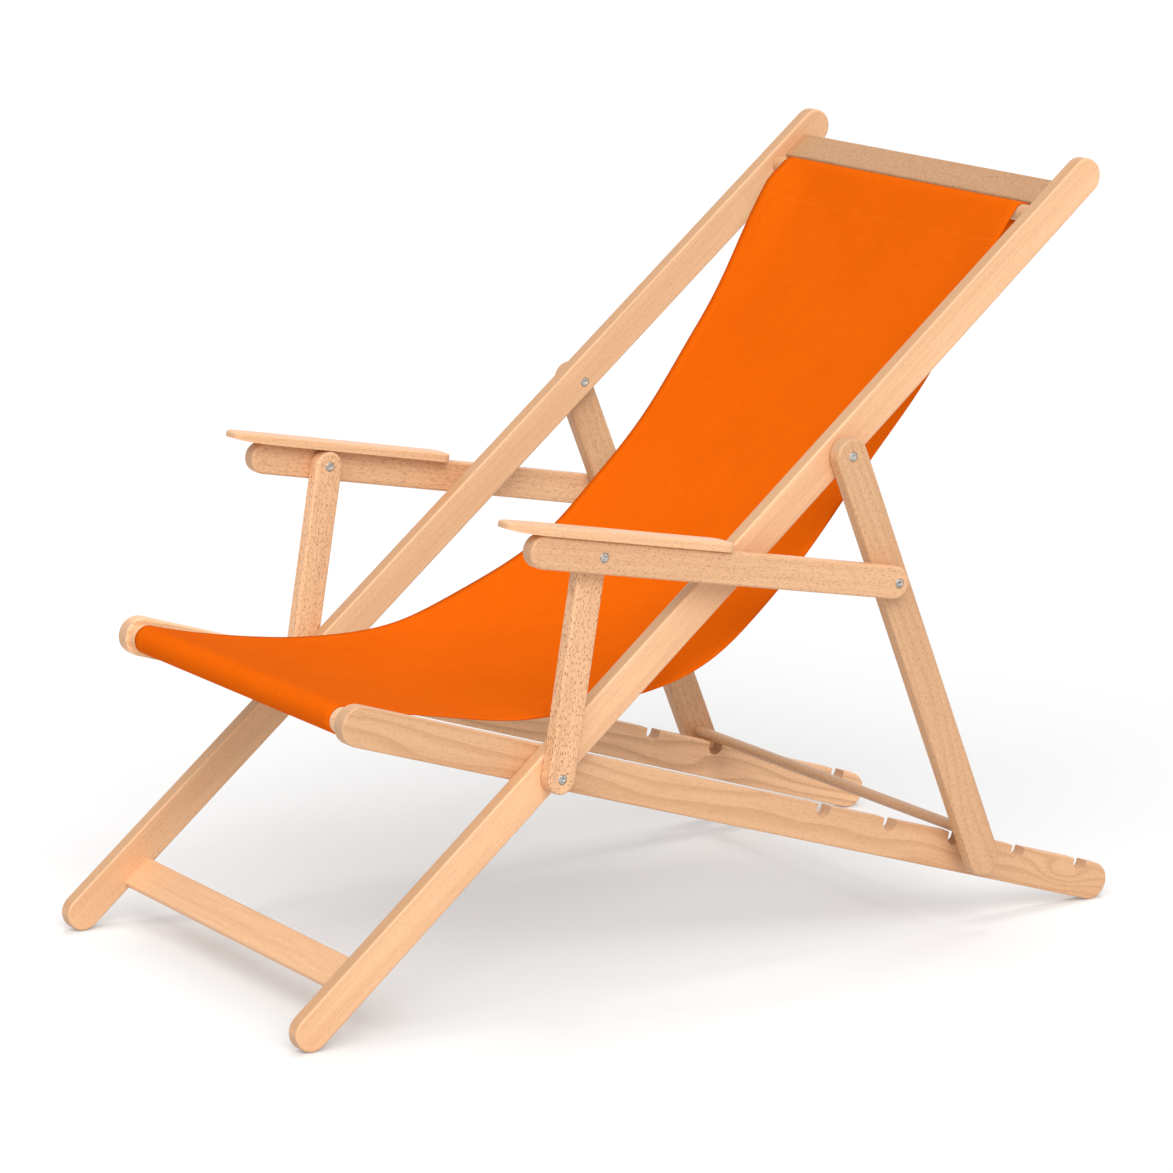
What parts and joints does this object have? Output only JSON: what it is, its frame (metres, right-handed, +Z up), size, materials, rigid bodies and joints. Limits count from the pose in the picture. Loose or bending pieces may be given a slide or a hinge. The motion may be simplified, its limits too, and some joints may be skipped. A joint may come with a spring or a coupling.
{
  "type": "deck chair with armrests",
  "caption": "Folding wooden deck chair: crossed rails, a notched seat frame with a prop bar, hinged armrests, and a cloth sling hung from a top rod to a front bar.",
  "frame": {"origin": "on the floor, in the middle of the standing chair's footprint", "axes": "+Z up, -Y the way the sitter faces, +X the sitter's left"},
  "size_m": [0.573, 1.0367, 0.8207],
  "materials": {
    "beech": "clear satin lacquer",
    "cloth": "plain woven cloth",
    "steel": "bright zinc plate"
  },
  "bodies": {
    "main_frame": {"main_rail_left": "beech", "main_rail_right": "beech", "top_bar": "beech", "bottom_slat": "beech", "sling_rod": "beech", "sling": "cloth", "main_pivot_bolts": "steel", "main_pivot_nuts": "steel", "main_pivot_washers": "steel", "prop_pivot_bolts": "steel", "prop_pivot_nuts": "steel", "prop_pivot_washers": "steel"},
    "seat_frame": {"seat_rail_left": "beech", "seat_rail_right": "beech", "front_bar": "beech"},
    "prop_frame": {"prop_leg_left": "beech", "prop_leg_right": "beech", "prop_bar": "beech", "leg_sleeves": "steel"},
    "arm_posts": {"arm_post_left": "beech", "arm_post_right": "beech", "arm_pivot_bolts": "steel", "arm_pivot_nuts": "steel", "arm_pivot_washers": "steel"},
    "armrests": {"arm_bar_left": "beech", "arm_bar_right": "beech", "arm_pad_left": "beech", "arm_pad_right": "beech", "pad_dowels": "beech", "arm_screws": "steel", "arm_screw_washers": "steel"}
  },
  "joints": [
    {"name": "fold", "type": "hinge", "parent": "main_frame", "child": "seat_frame", "pos_m": [0, -0.22287, 0.24204], "axis": [1, 0, 0], "range_deg": [0, 56.5], "deforming": ["sling"]},
    {"name": "prop_swing", "type": "hinge", "parent": "main_frame", "child": "prop_frame", "pos_m": [0, 0.12838, 0.53518], "axis": [1, 0, 0], "range_deg": [0, 107.04]},
    {"name": "post_swing", "type": "hinge", "parent": "main_frame", "child": "arm_posts", "pos_m": [0, -0.22287, 0.24204], "axis": [1, 0, 0], "range_deg": [-41.44, 0]},
    {"name": "arm_swing", "type": "hinge", "parent": "arm_posts", "child": "armrests", "pos_m": [0, -0.18834, 0.46741], "axis": [1, 0, 0], "range_deg": [0, 90.79]}
  ],
  "couplings": [
    {"joint": "prop_swing", "follows": "fold", "ratio": 1.8945},
    {"joint": "post_swing", "follows": "fold", "ratio": -0.73348},
    {"joint": "arm_swing", "follows": "fold", "ratio": 1.607}
  ]
}
